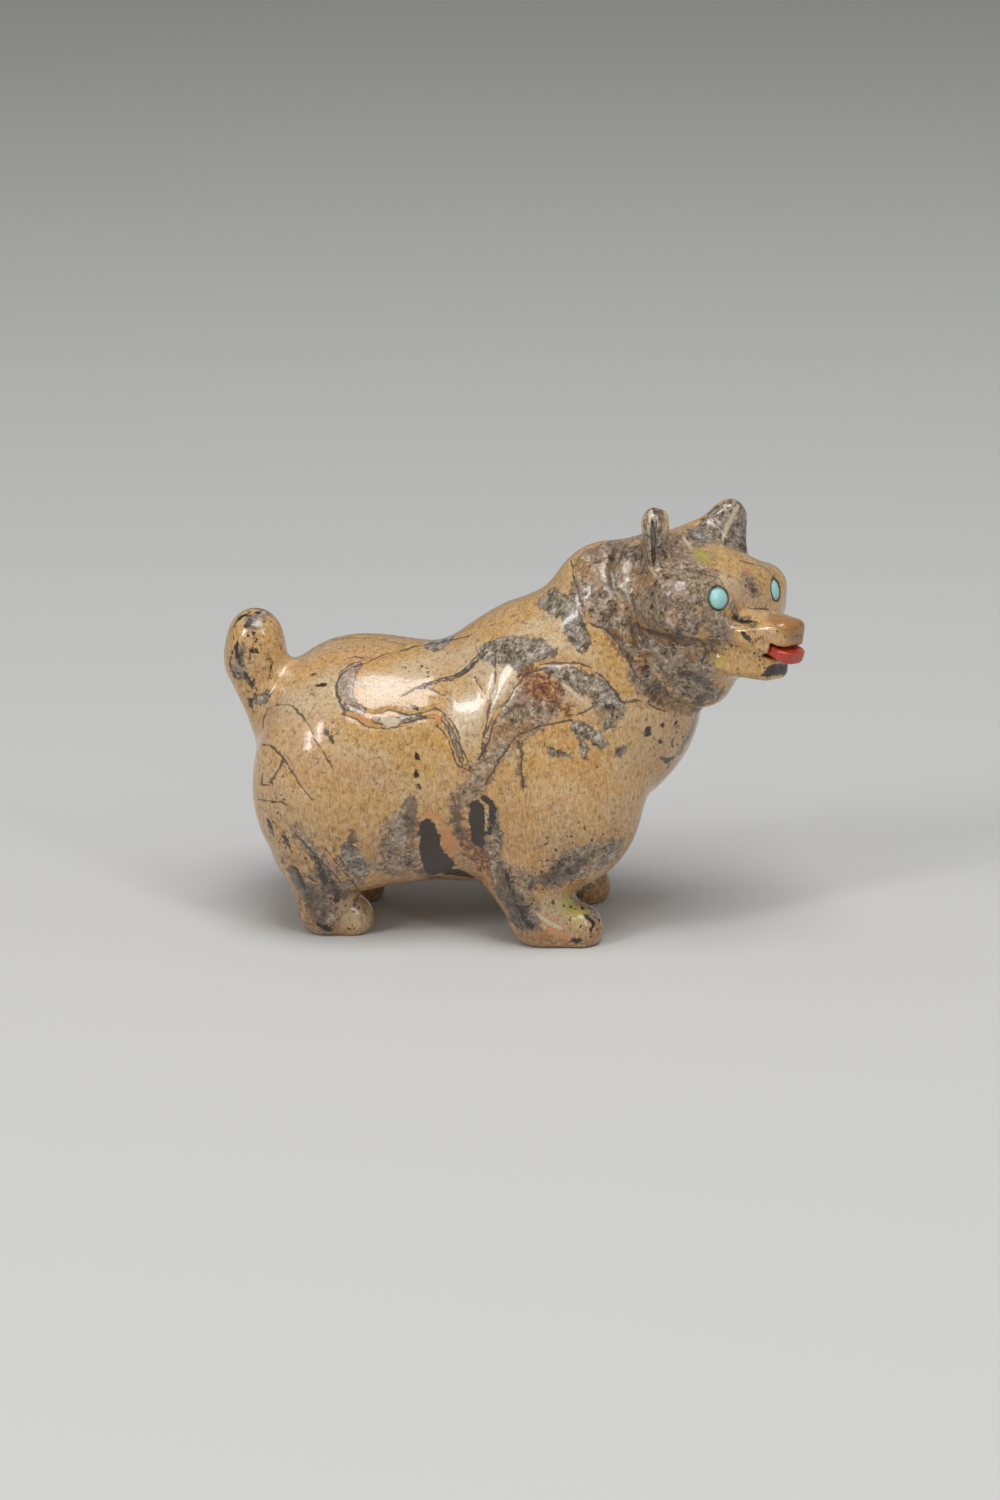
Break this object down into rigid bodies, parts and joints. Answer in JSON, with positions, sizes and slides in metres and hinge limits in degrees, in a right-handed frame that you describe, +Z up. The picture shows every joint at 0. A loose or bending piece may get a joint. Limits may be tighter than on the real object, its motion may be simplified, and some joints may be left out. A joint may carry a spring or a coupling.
{
  "type": "zuni fetish",
  "caption": "Small standing bear carved from one mottled ochre stone, head turned aside, with inlaid turquoise eyes and a red coral tongue.",
  "frame": {"origin": "on the surface it stands on, under the middle of the figure's length and width", "axes": "+X towards the bear's chest, +Y towards its left side, +Z up"},
  "size_m": [0.064, 0.0264, 0.0487],
  "materials": {
    "ochre_stone": "polished",
    "turquoise": "polished",
    "red_coral": "polished"
  },
  "bodies": {
    "root": {"stone_bear": "ochre_stone", "eye_left": "turquoise", "eye_right": "turquoise", "tongue": "red_coral"}
  },
  "joints": []
}
